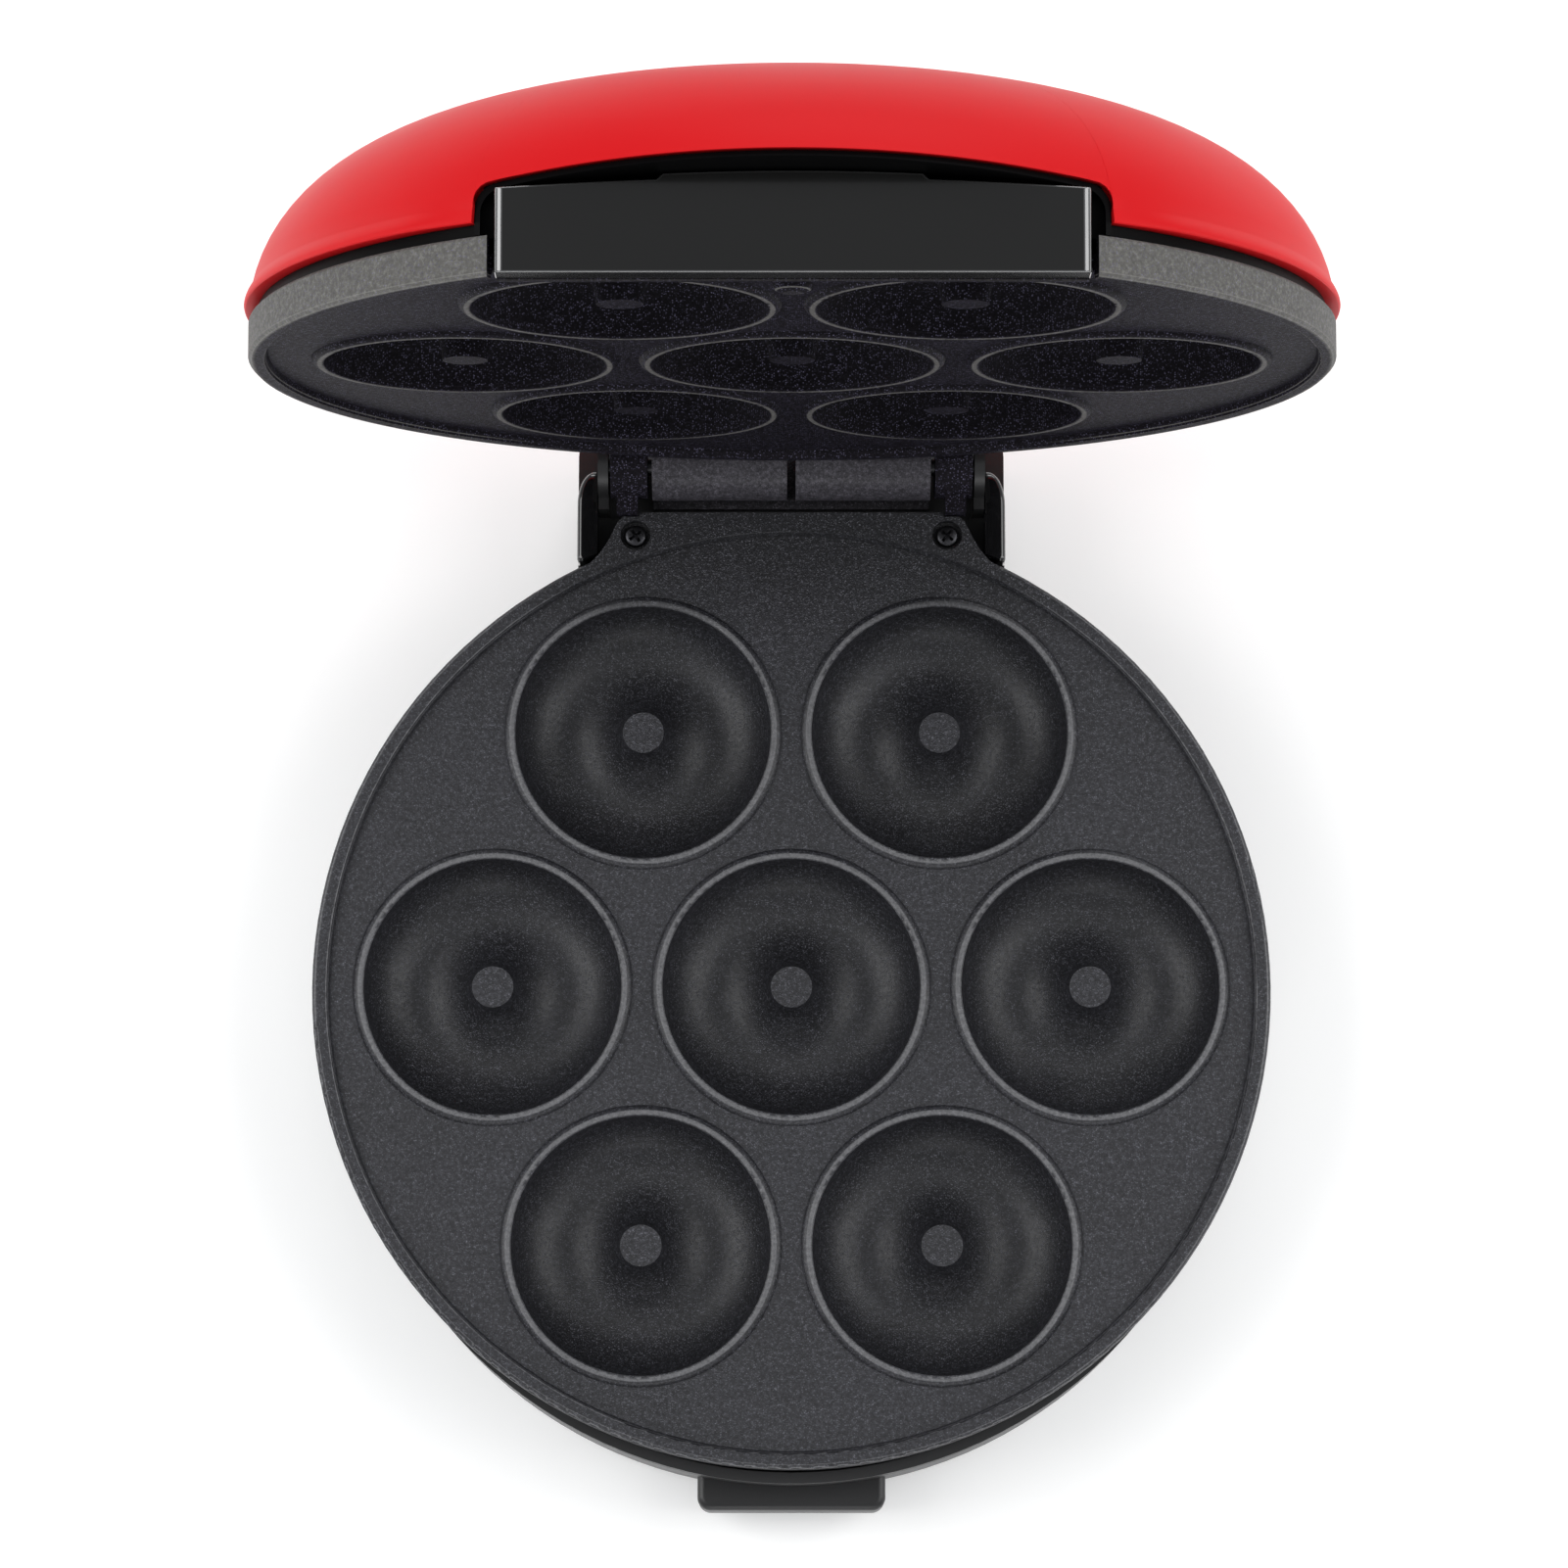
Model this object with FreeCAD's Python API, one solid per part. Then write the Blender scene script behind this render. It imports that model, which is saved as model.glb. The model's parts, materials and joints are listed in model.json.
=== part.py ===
import FreeCAD, Part
import os
from math import cos, hypot, radians, sin, sqrt

# Round seven-cavity donut maker, lid standing open. Millimetres, +Z up, feet on z = 0.
# Everything is drawn round the cooking plates' axis with the lid closed; the lid's pieces
# are then swung open about the hinge, and the whole is moved to the frame's origin.
V = FreeCAD.Vector

# driving dimensions
plateR = 110.0          # lower cooking plate, outer radius
lidR = 113.6            # upper cooking plate, outer radius: it overhangs the lower one
matingZ = 45.0          # rim of the lower plate above the table
plateGap = 0.5          # between the two rims with the lid closed
wallDrop = 8.0          # height of each plate's side wall
rimIn = 3.5             # width of the flat rim
floorDrop = 2.0         # plate floor below the rim
floorT = 3.0            # casting thickness of the floor
pitch = 68.6            # between cavity centres, in a hexagon
mouthR = 29.6           # cavity mouth
postR = 4.75            # flat top of the centre post
postDrop = 1.6          # post top below the rim
castT = 2.75            # casting thickness round a cavity
beadR = 32.2            # outer radius of the raised bead
beadRise = 1.2
footH = 3.5
housingR = 109.2
housingT = 2.5
housingTop = matingZ - wallDrop - 0.5
chinR, chinY = 103.9, -9.0      # the housing's fuller front
tabX, tabY, tabTop = 21.6, -118.4, 23.0     # front lift tab, half width, front face and top
grooveZ, grooveH, grooveDepth = 31.0, 1.2, 0.7  # drip groove round the housing
hingeY, hingeZ = 122.3, 46.0
openDeg = 86.0
barrelR, barrelIn, barrelOut = 8.3, 1.0, 32.3
knuckleR, knuckleIn, knuckleOut = 7.8, 33.4, 42.0
pinR, pinFit = 2.5, 0.05
earIn, earOut, capOut = 42.5, 44.9, 49.9
earSkin = 0.9           # wall that closes the pin's hole in each ear
capRear, capTop = 121.8, 44.3
toeIn, toeOut, toeReach, toeHalf = 35.8, 40.6, 11.7, 2.4    # open-stop toe on each knuckle
blockRear = 133.5
pocketFloor = 33.0      # floor of the housing's pocket for the hinge block
glandZ, glandR = 17.0, 5.5
ledgeY = 111.2          # rear edge of the lower plate's ledge
ledgeScrewX, ledgeScrewY = 36.3, 105.8
hingeScrewX, hingeScrewY = 22.0, 122.0
coverR, coverTop, coverZ0 = 113.8, 97.8, 51.5   # the domed cover's curve
coverT = 2.4
coverEdgeZ = 56.2
lipR, lipH = 114.6, 2.4
archX, archEndZ, archMidZ = 61.5, 64.0, 67.4    # opening in the cover over the handle
handleX, handleFront, handleBack = 57.0, -98.0, -92.7
chordY = -92.4          # flat front of the upper plate
lampY, lampX = -40.0, 9.0
handleScrewX, handleScrewZ = 50.0, 59.2

cavities = [(0.0, 0.0)] + [(pitch * cos(radians(60 * k)), pitch * sin(radians(60 * k))) for k in range(6)]
troughR = (mouthR - postR) / 2
troughX = (mouthR + postR) / 2
troughZ = matingZ - postDrop
outTroughR = troughR + castT
floorZ = matingZ - floorDrop
underZ = floorZ - floorT
elementR = 3.25                             # heating tube radius
elementZ = troughZ - outTroughR - elementR - 0.05
reflectorZ = elementZ - 5.2
topOfLid = 2 * matingZ + plateGap           # a height z in the base is topOfLid - z in the lid


def profile(points):
    """Face in the XZ plane; an entry with two points is an arc through the first to the second."""
    edges, here = [], V(points[0][0], 0, points[0][1])
    for p in points[1:] + [points[0]]:
        if isinstance(p[0], tuple):
            mid, end = (V(q[0], 0, q[1]) for q in p)
            edges.append(Part.Arc(here, mid, end).toShape())
        else:
            end = V(p[0], 0, p[1])
            if end.distanceToPoint(here) > 1e-6:
                edges.append(Part.makeLine(here, end))
        here = end
    return Part.Face(Part.Wire(edges))


def laidDown(face):
    """Turn a profile into the XY plane, so that its height becomes Y."""
    return face.rotated(V(0, 0, 0), V(1, 0, 0), -90)


def turned(points, x=0.0, y=0.0):
    shape = profile(points).revolve(V(0, 0, 0), V(0, 0, 1), 360)
    return shape.translated(V(x, y, 0))


def box(x0, x1, y0, y1, z0, z1):
    return Part.makeBox(x1 - x0, y1 - y0, z1 - z0, V(x0, y0, z0))


def rod(r, x, y, z0, z1):
    return Part.makeCylinder(r, z1 - z0, V(x, y, z0))


def rodX(r, x0, x1, y, z):
    return Part.makeCylinder(r, x1 - x0, V(x0, y, z), V(1, 0, 0))


def rodY(r, x, y0, y1, z):
    return Part.makeCylinder(r, y1 - y0, V(x, y0, z), V(0, 1, 0))


def fuse(shapes):
    return shapes[0].multiFuse(shapes[1:]).removeSplitter()


def mirrored(shape):
    return shape.mirror(V(0, 0, 0), V(1, 0, 0))


def both(shape):
    return [shape, mirrored(shape)]


def toLid(shape):
    """Turn a piece of the base over into the lid, still closed."""
    return shape.mirror(V(0, 0, topOfLid / 2), V(0, 0, 1))


def rounded(shape, radius, pick):
    edges = [e for e in shape.Edges if pick(e)]
    return shape.makeFillet(radius, edges)


def isUpright(edge):
    ends = [v.Point for v in edge.Vertexes]
    return len(ends) == 2 and hypot(ends[0].x - ends[1].x, ends[0].y - ends[1].y) < 1e-6


def screw(x, y, zHead, up, headR=2.6, headH=1.6, shankR=1.5, length=10.0):
    """Cross-head screw; up is 1 when the head faces up, -1 when it faces down."""
    head = turned([(0, 0), (headR, 0), ((headR * 0.85, headH * 0.75), (headR * 0.35, headH)), (0, headH)])
    shank = rod(shankR, 0, 0, -length, 0.2)
    slot = fuse([box(-headR * 0.55, headR * 0.55, -0.35, 0.35, headH * 0.35, headH + 1),
                 box(-0.35, 0.35, -headR * 0.55, headR * 0.55, headH * 0.35, headH + 1)])
    body = fuse([head, shank]).cut(slot)
    if up < 0:
        body.rotate(V(0, 0, 0), V(1, 0, 0), 180)
    return body.translated(V(x, y, zHead))


def lead(points, r=1.2):
    """Insulated wire: straight runs with round corners."""
    route = [V(*p) for p in points]
    runs = [Part.makeCylinder(r, b.distanceToPoint(a), a, b.sub(a)) for a, b in zip(route, route[1:])]
    corners = [Part.makeSphere(r, p) for p in route[1:-1]]
    return fuse(runs + corners)


# ---- cooking plates -------------------------------------------------------------------

thermostatAt = (-pitch / 2, pitch / (2 * sqrt(3)))
fuseAt = (pitch / 2, pitch / (2 * sqrt(3)))
reflectorScrews = [(82 * cos(radians(a)), 82 * sin(radians(a))) for a in (-90, 30, 150)]
housingScrews = [(99 * cos(radians(a)), 99 * sin(radians(a))) for a in (-90, 30, 150)]
lidPlateScrews = [(99 * cos(radians(a)), 99 * sin(radians(a))) for a in (30, 150, -30, -150)]


def plateDisc(outerR):
    rimR = outerR - rimIn
    edge = [(outerR, matingZ - 1.2), ((outerR - 0.35, matingZ - 0.35), (outerR - 1.2, matingZ))]
    if outerR == lidR:                      # the handle's pocket cuts this rim, which has a plain chamfer
        edge = [(outerR, matingZ - 0.8), (outerR - 0.8, matingZ)]
    return turned([(0, underZ), (outerR - 3, underZ), (outerR - 3, matingZ - wallDrop),
                   (outerR - 0.6, matingZ - wallDrop), (outerR, matingZ - wallDrop + 0.6), *edge,
                   (rimR + 0.5, matingZ), ((rimR + 0.12, matingZ - 0.15), (rimR, matingZ - 0.5)),
                   (rimR - 0.6, floorZ), (0, floorZ)])


def cavityOutside(x, y):
    shell = turned([(0, floorZ - 0.5), (0, troughZ - outTroughR + 0.6), (troughX, troughZ - outTroughR),
                    ((troughX + outTroughR * sin(radians(45)), troughZ - outTroughR * cos(radians(45))),
                     (troughX + outTroughR, troughZ - 0.5)), (troughX + outTroughR, floorZ - 0.5)], x, y)
    bead = turned([(mouthR - 0.6, floorZ - 0.5), (beadR, floorZ - 0.5), (beadR, floorZ),
                   ((mouthR + 1.0, floorZ + beadRise), (mouthR - 0.6, floorZ + 0.6))], x, y)
    return [shell, bead]


def cavityInside(x, y):
    trough = turned([(postR, troughZ), ((troughX, troughZ - troughR), (mouthR, troughZ)),
                     (mouthR, matingZ + 3), (postR, matingZ + 3)], x, y)
    overPost = rod(postR + 0.5, x, y, troughZ, matingZ + 3)
    underPost = Part.makeCone(3.6, 2.4, 12, V(x, y, troughZ - outTroughR - 1))
    return [trough, overPost, underPost]


def cookingPlate(outerR, bosses):
    parts = [plateDisc(outerR)]
    for x, y in cavities:
        parts += cavityOutside(x, y)
    parts.append(turned([(pitch - 6, elementZ), (pitch + 6, elementZ), (pitch + 6, underZ + 1),
                         (pitch - 6, underZ + 1)]))
    parts.append(rod(6.8, thermostatAt[0], thermostatAt[1], underZ - 4.8, underZ + 1))
    parts += [rod(4, x, y, reflectorZ + 0.8, underZ + 1) for x, y in reflectorScrews]
    parts += [rod(4, x, y, z, underZ + 1) for x, y, z in bosses]
    body = fuse(parts)
    holes = [Part.makeTorus(pitch, elementR + 0.12, V(0, 0, elementZ))]
    holes += [rod(1.55, x, y, reflectorZ, underZ - 1) for x, y in reflectorScrews]
    holes += [rod(1.55, x, y, z - 1, underZ + 0.5) for x, y, z in bosses]
    for x, y in cavities:
        holes += cavityInside(x, y)
    return body.cut(holes)


def lowerPlate():
    plate = cookingPlate(plateR, [(x, y, 30.0) for x, y in housingScrews])
    # ledge that carries the plate back to the hinge, with a flared root on each side
    side = [(54.0, sqrt(plateR ** 2 - 54.0 ** 2) - 1.0), ((47.2, 98.8), (42.4, 104.9)), (40.4, 109.0),
            (39.2, 110.2), (35.4, 110.2), (35.4, ledgeY)]
    other = [(-35.4, ledgeY), (-35.4, 110.2), (-39.2, 110.2), (-40.4, 109.0), (-42.4, 104.9),
             ((-47.2, 98.8), (-54.0, side[0][1]))]
    ledge = laidDown(profile(side + other)).extrude(V(0, 0, wallDrop)).translated(V(0, 0, matingZ - wallDrop))
    ledge = ledge.cut(rod(plateR - rimIn + 0.2, 0, 0, 0, 100))
    plate = plate.fuse(ledge).removeSplitter()
    for x in (-ledgeScrewX, ledgeScrewX):
        plate = plate.cut([rod(3.5, x, ledgeScrewY, matingZ - 2.1, matingZ + 1),
                           rod(1.7, x, ledgeScrewY, 30, matingZ)])
    return plate


def upperPlate():
    plate = toLid(cookingPlate(lidR, [(x, y, underZ - 3.1) for x, y in lidPlateScrews]))
    low = matingZ + plateGap
    pocket = box(-58.6, 58.6, -lidR - 5, chordY, low - 5, low + 40)
    pocket = rounded(pocket, 3.0, lambda e: isUpright(e) and e.BoundBox.YMin > chordY - 1)
    plate = plate.cut(pocket)
    front = box(-57, 57, chordY, chordY + 1.5, low, low + wallDrop)
    plate = plate.fuse(front)
    corner = [toLid(s) for x, y in cavities for s in cavityInside(x, y)[:2]]
    plate = plate.cut(corner)
    boss = turned([(0, low + 2.4), (4.2, low + 2.4), (3.6, low + 0.9),
                   ((2.6, low + 0.35), (1.0, low + 0.2)), (0, low + 0.2)], 0, -79.5)
    parts = [plate, boss]
    for sign in (1, -1):
        x0, x1 = sorted((sign * knuckleIn, sign * knuckleOut))
        parts.append(rodX(knuckleR, x0, x1, hingeY, hingeZ))
        parts.append(box(x0, x1, 105.5, hingeY + 3, hingeZ + 0.9, low + wallDrop - 0.2))
        t0, t1 = sorted((sign * toeIn, sign * toeOut))
        toe = box(t0, t1, hingeY - toeReach, hingeY - 5, hingeZ - toeHalf, hingeZ + toeHalf)
        toe.rotate(V(0, hingeY, hingeZ), V(1, 0, 0), openDeg)
        parts.append(toe)
    plate = fuse(parts)
    return plate.cut(both(rodX(pinR + pinFit, 30, 45, hingeY, hingeZ)))


# ---- heating ---------------------------------------------------------------------------

def element():
    """Tubular heater: an open ring whose ends turn down to terminal pins."""
    gap = 14.0
    ring = Part.makeTorus(pitch, elementR, V(0, 0, elementZ), V(0, 0, 1), 0, 360, 360 - 2 * gap)
    ring.rotate(V(0, 0, 0), V(0, 0, 1), 90 + gap)
    x, y = pitch * sin(radians(gap)), pitch * cos(radians(gap))
    parts = [ring]
    for sx in (x, -x):
        parts += [Part.makeSphere(elementR, V(sx, y, elementZ)), rod(elementR, sx, y, elementZ - 9, elementZ),
                  rod(1.2, sx, y, elementZ - 14, elementZ - 8)]
    return fuse(parts)


def reflector():
    dish = turned([(12, reflectorZ), (87.5, reflectorZ), (89.5, reflectorZ + 2), (89.5, reflectorZ + 6),
                   (88.7, reflectorZ + 6), (88.7, reflectorZ + 2.3), (87.2, reflectorZ + 0.8),
                   (12, reflectorZ + 0.8)])
    x, y = pitch * sin(radians(14)), pitch * cos(radians(14))
    holes = [rod(elementR + 1, sx, y, 0, 60) for sx in (x, -x)]
    holes += [rod(1.7, a, b, 0, 60) for a, b in reflectorScrews]
    return dish.cut(holes)


def reflectorScrewSet():
    return Part.makeCompound([screw(x, y, reflectorZ - 0.02, -1, length=8) for x, y in reflectorScrews])


def thermostat():
    x, y = thermostatAt
    top = underZ - 4.85
    parts = [rod(8.3, x, y, top - 2.2, top), rod(7.9, x, y, top - 8, top - 2.2)]
    parts += [box(x - 3.2, x + 3.2, y + s - 0.4, y + s + 0.4, top - 13, top - 7.5) for s in (-4.5, 4.5)]
    return fuse(parts)


def thermalFuse():
    x, y = fuseAt
    z = underZ - 3.0
    return fuse([rodX(2.0, x - 5, x + 5, y, z), rodX(0.5, x - 9, x - 5, y, z), rodX(0.5, x + 5, x + 9, y, z)])


def terminalBlock():
    block = box(-13, 13, 86, 98, 6.1, 15.5)
    holes = [rod(2.2, x, 92, 9.0, 20) for x in (-8.5, 0, 8.5)]
    return block.cut(holes)


def baseLeads():
    x, y = pitch * sin(radians(14)), pitch * cos(radians(14))
    low = elementZ - 14
    pinX = x + 2.6
    leads = [lead([(x + 0.1, y + 2.5, low + 3), (x, 82.5, low + 2), (8.5, 84.6, 10.0)]),
             lead([(-x - 0.1, y + 2.5, low + 3), (-x, 82.5, low + 2), (-8.5, 84.6, 10.0)]),
             lead([(thermostatAt[0], 16.5, 18.0), (thermostatAt[0], 40.0, 12.5), (-pinX, 60.0, 9.0),
                   (-pinX, 80.0, 8.0)])]
    return Part.makeCompound(leads)


# ---- base ------------------------------------------------------------------------------

def housingOutline(inset):
    """Plan of the housing: a round body, its fuller front and the hinge block behind."""
    r, chin, half, rear = housingR - inset, chinR - inset, capOut - inset, blockRear - inset
    meetY = (chin ** 2 - r ** 2 - chinY ** 2) / (-2 * chinY)
    meetX = sqrt(r ** 2 - meetY ** 2)
    rootY, corner = sqrt(r ** 2 - half ** 2), 7.0 - inset
    k = corner * (1 - cos(radians(45)))
    plan = profile([(half, rootY), ((r, 0), (meetX, meetY)), ((0, chinY - chin), (-meetX, meetY)),
                    ((-r, 0), (-half, rootY)), (-half, rear - corner),
                    ((-half + k, rear - k), (-half + corner, rear)),
                    (half - corner, rear), ((half - k, rear - k), (half, rear - corner))])
    return laidDown(plan)


def baseHousing():
    body = housingOutline(0).extrude(V(0, 0, housingTop - footH)).translated(V(0, 0, footH))
    body = rounded(body, 4.0, lambda e: e.BoundBox.ZMax < footH + 0.1)
    tab = box(-tabX, tabX, tabY, -100, footH + 2, tabTop)
    tab = rounded(tab, 3.0, lambda e: isUpright(e) and e.BoundBox.YMax < tabY + 1)
    tab = rounded(tab, 1.6, lambda e: e.BoundBox.YMax < tabY + 4 and e.BoundBox.ZLength < 0.1)
    body = fuse([body, tab])
    room = housingOutline(housingT).extrude(V(0, 0, 60)).translated(V(0, 0, footH + housingT))
    block = box(-60, 60, 104, 140, 30.5, 60)
    body = body.cut(room.cut(block)).cut(box(-earIn, earIn, 111.6, blockRear - 2.3, pocketFloor, 60))
    groove = housingOutline(-6).extrude(V(0, 0, grooveH)).translated(V(0, 0, grooveZ))
    body = body.cut(groove.cut(housingOutline(grooveDepth).extrude(V(0, 0, 60))))
    bosses = [rod(4.6, x, y, footH + 1, 29.9) for x, y in housingScrews]
    bosses += [rod(4.6, x, hingeScrewY, footH + 1, pocketFloor) for x in (-hingeScrewX, hingeScrewX)]
    bosses += [rod(4.2, x, ledgeScrewY, footH + 1, housingTop) for x in (-ledgeScrewX, ledgeScrewX)]
    body = body.fuse(bosses)
    ear = fuse([rodX(knuckleR, earIn, earOut, hingeY, hingeZ),
                box(earIn, earOut, 111.8, hingeY + knuckleR, housingTop - 4, hingeZ)])
    ear = ear.cut(rodX(pinR + pinFit, earIn - 1, earOut - earSkin, hingeY, hingeZ))
    body = body.fuse(both(ear)).removeSplitter()
    holes = []
    for x, y in housingScrews:
        holes += [rod(3.6, x, y, 0, 16), rod(1.7, x, y, 0, 40)]
    for x in (-hingeScrewX, hingeScrewX):
        holes += [rod(3.6, x, hingeScrewY, 0, 24), rod(1.7, x, hingeScrewY, 0, 40)]
    holes += [rod(1.3, x, ledgeScrewY, 24, 40) for x in (-ledgeScrewX, ledgeScrewX)]
    holes += [rod(2.55, x, y, 0, footH + 4) for x, y in feetAt]
    holes.append(rodY(glandR, 0, 125, 140, glandZ))
    return body.cut(holes)


feetAt = [(62.0, -62.0), (-62.0, -62.0), (38.0, 114.0), (-38.0, 114.0)]


def feet():
    return Part.makeCompound([turned([(0, 0), (6.0, 0), ((6.7, 0.35), (7.0, 1.0)), (7.2, footH), (2.5, footH),
                                      (2.5, footH + housingT + 0.1), (3.1, footH + housingT + 0.1),
                                      (2.2, footH + housingT + 1.6), (0, footH + housingT + 1.6)], x, y)
                              for x, y in feetAt])


def cordGland():
    ring = turned([(3.6, -4.8), (5.4, -4.8), (5.4, 0.02), (7.6, 0.02), (7.6, 1.2), (6.8, 2.4), (3.6, 2.4)])
    ring.rotate(V(0, 0, 0), V(1, 0, 0), -90)
    return ring.translated(V(0, blockRear, glandZ))


def hingeBlock():
    """Two cast barrels on one foot, slit apart at the middle; the lid's leads pass through the hollow."""
    parts = [rodX(barrelR, -barrelOut, barrelOut, hingeY, hingeZ),
             box(-barrelOut, barrelOut, 116.5, 128.5, pocketFloor + 0.05, hingeZ),
             box(-barrelOut, barrelOut, 114.2, 130.5, pocketFloor + 0.05, pocketFloor + 2.6)]
    body = fuse(parts)
    holes = [box(-barrelIn, barrelIn, 100, 140, pocketFloor + 2.6, 60), rodX(5.0, -14, 14, hingeY, hingeZ),
             rodX(pinR + pinFit, 18, 40, hingeY, hingeZ), rodX(pinR + pinFit, -40, -18, hingeY, hingeZ)]
    holes += [rod(1.55, x, hingeScrewY, 30, 41) for x in (-hingeScrewX, hingeScrewX)]
    return body.cut(holes)


def hingePins():
    return Part.makeCompound(both(rodX(pinR, 18.5, earOut - earSkin - 0.1, hingeY, hingeZ)))


def hingeCap():
    """Low glossy cover beside the hinge ear, rounded over its back and its outer corner."""
    inner, low, top = earOut + 0.1, housingTop + 0.05, capTop
    side = profile([(97.0, low), (capRear, low), (capRear, top - 2.5),
                    ((capRear - 0.73, top - 0.73), (capRear - 2.5, top)), (97.0, top)])
    side.rotate(V(0, 0, 0), V(0, 0, 1), 90)
    cap = side.extrude(V(10, 0, 0)).translated(V(inner, 0, 0))
    plan = laidDown(profile([(inner, 90), (capOut, 90), (capOut, 113.6),
                             ((48.4, 119.4), (inner, capRear + 0.2))]))
    return cap.common(plan.extrude(V(0, 0, 60))).cut(rod(plateR + 1.2, 0, 0, 0, 100))


def baseScrews():
    return Part.makeCompound([screw(x, y, 16.0, -1, 3.2, 2.2, 1.5, 20.0) for x, y in housingScrews])


def hingeScrews():
    return Part.makeCompound([screw(x, hingeScrewY, 24.0, -1, 3.2, 2.2, 1.5, 15.0)
                              for x in (-hingeScrewX, hingeScrewX)])


def ledgeScrews():
    return Part.makeCompound([screw(x, ledgeScrewY, matingZ - 2.08, 1, 2.6, 1.7, 1.25, 14.0)
                              for x in (-ledgeScrewX, ledgeScrewX)])


# ---- lid -------------------------------------------------------------------------------

def domeHeight(r, inset):
    rr, top = coverR - inset, coverTop - inset
    return coverZ0 + (top - coverZ0) * max(0.0, 1 - (r / rr) ** 3.5) ** (1 / 2.23)


def dome(inset, fromZ):
    """Solid under the cover's curve, set in by inset, down to fromZ."""
    rr = coverR - inset
    low = rr * (1 - ((fromZ - coverZ0) / (coverTop - inset - coverZ0)) ** 2.23) ** (1 / 3.5)
    radii = [r * low for r in (0.02, 0.14, 0.27, 0.4, 0.53, 0.64, 0.73, 0.8, 0.86, 0.905, 0.94, 0.964)]
    points = [V(r, 0, domeHeight(r, inset)) for r in radii] + [V(low, 0, fromZ)]
    curve = Part.BSplineCurve()
    curve.interpolate(Points=points, InitialTangent=V(1, 0, 0), FinalTangent=V(0.02, 0, -1))
    centre = [V(0, 0, fromZ), V(0, 0, points[0].z)]
    edges = [curve.toShape(), Part.makeLine(points[-1], centre[0]), Part.makeLine(*centre),
             Part.makeLine(centre[1], points[0])]
    return Part.Face(Part.Wire(edges)).revolve(V(0, 0, 0), V(0, 0, 1), 360)


def archway(grow, y0, y1):
    """Room under the cover's arch, grown or shrunk on its sides and top."""
    x, end, mid = archX + grow, archEndZ + grow, archMidZ + grow
    face = profile([(-x, 40), (x, 40), (x, end - 4), ((x - 1.2, end - 1.2), (x - 4, end + 0.3)),
                    ((0, mid), (-x + 4, end + 0.3)), ((-x + 1.2, end - 1.2), (-x, end - 4))])
    return face.extrude(V(0, y1 - y0, 0)).translated(V(0, y0, 0))


def lampHoles(r):
    return [rod(r, x, lampY, 80, 110) for x in (-lampX, lampX)]


coverBosses = [(101 * cos(radians(a)), 101 * sin(radians(a))) for a in (48, 132, -46, -134)]


def lidCover():
    skin = dome(0, coverEdgeZ)
    lip = turned([(108, coverEdgeZ), (lipR - 0.5, coverEdgeZ), (lipR, coverEdgeZ + 0.6),
                  (lipR - 0.1, coverEdgeZ + 1.4), (lipR - 1.6, coverEdgeZ + lipH + 1.6),
                  (108, coverEdgeZ + lipH + 1.6)])
    shell = fuse([skin, lip]).cut(dome(coverT, coverEdgeZ - 1))
    bosses = [rod(3.6, x, y, coverEdgeZ + 0.2, 88) for x, y in coverBosses]
    bosses = [b.common(dome(coverT - 0.4, coverEdgeZ)) for b in bosses]
    shell = shell.fuse(bosses).removeSplitter()
    holes = [rod(1.25, x, y, 50, 70) for x, y in coverBosses]
    return shell.cut([archway(0, -130, -60)] + lampHoles(4.1) + holes)


def lidLiner():
    """Black inner frame: it spaces the cover off the plate and lines the handle's recess."""
    low = matingZ + plateGap + wallDrop + 0.2
    ring = turned([(93, low), (111.6, low), (111.6, coverEdgeZ - 0.1), (109.8, coverEdgeZ - 0.1),
                   (109.8, 61), (108.2, 61), (108.2, coverEdgeZ - 0.1), (93, coverEdgeZ - 0.1)])
    recess = dome(0.8, coverEdgeZ - 4).fuse(rod(113.0, 0, 0, low, coverEdgeZ))
    recess = archway(-0.4, -130, -90.9).common(recess)
    room = archway(-1.5, -130, chordY - 0.1)
    recess = recess.common(box(-100, 100, -130, 0, low, 100))
    body = ring.cut(archway(-0.4, -130, -90.9)).fuse(recess).cut(room)
    holes = [rod(1.6, x, y, 40, 60) for x, y in lidPlateScrews + coverBosses]
    holes += [rodY(1.6, x, -95, -85, handleScrewZ) for x in (-handleScrewX, handleScrewX)]
    holes += [rod(31.9, x, y, low - 1, 70) for x, y in cavities[1:]]
    return body.cut(holes)


def lidHandle():
    """Grip block: flat face, arched top with a raised middle, rounded ends."""
    low, end, mid = matingZ + plateGap + 0.3, 61.6, 64.4
    face = profile([(-handleX, low), (handleX, low), (handleX, end), ((0, mid), (-handleX, end))])
    block = face.extrude(V(0, handleBack - handleFront, 0)).translated(V(0, handleFront, 0))
    raised = box(-25.5, 25.5, handleFront, handleBack, 60, 65.2)
    block = fuse([block, raised])
    block = rounded(block, 1.6, lambda e: isUpright(e) and e.BoundBox.YMax < handleFront + 0.1
                    and abs(e.BoundBox.XMin) > handleX - 1)
    return block.cut(both(rodY(1.25, handleScrewX, handleFront + 1.6, -80, handleScrewZ)))


def handleScrews():
    made = []
    for x in (-handleScrewX, handleScrewX):
        s = screw(0, 0, 0, 1, 2.8, 1.9, 1.2, 5.0)
        s.rotate(V(0, 0, 0), V(1, 0, 0), -90)
        made.append(s.translated(V(x, -90.85, handleScrewZ)))
    return Part.makeCompound(made)


def coverScrews():
    low = matingZ + plateGap + wallDrop + 0.18
    return Part.makeCompound([screw(x, y, low, -1, 2.8, 1.8, 1.2, 12.0) for x, y in coverBosses])


def lidPlateScrewSet():
    return Part.makeCompound([screw(x, y, coverEdgeZ - 0.08, 1, 2.8, 1.8, 1.5, 5.4) for x, y in lidPlateScrews])


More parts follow.
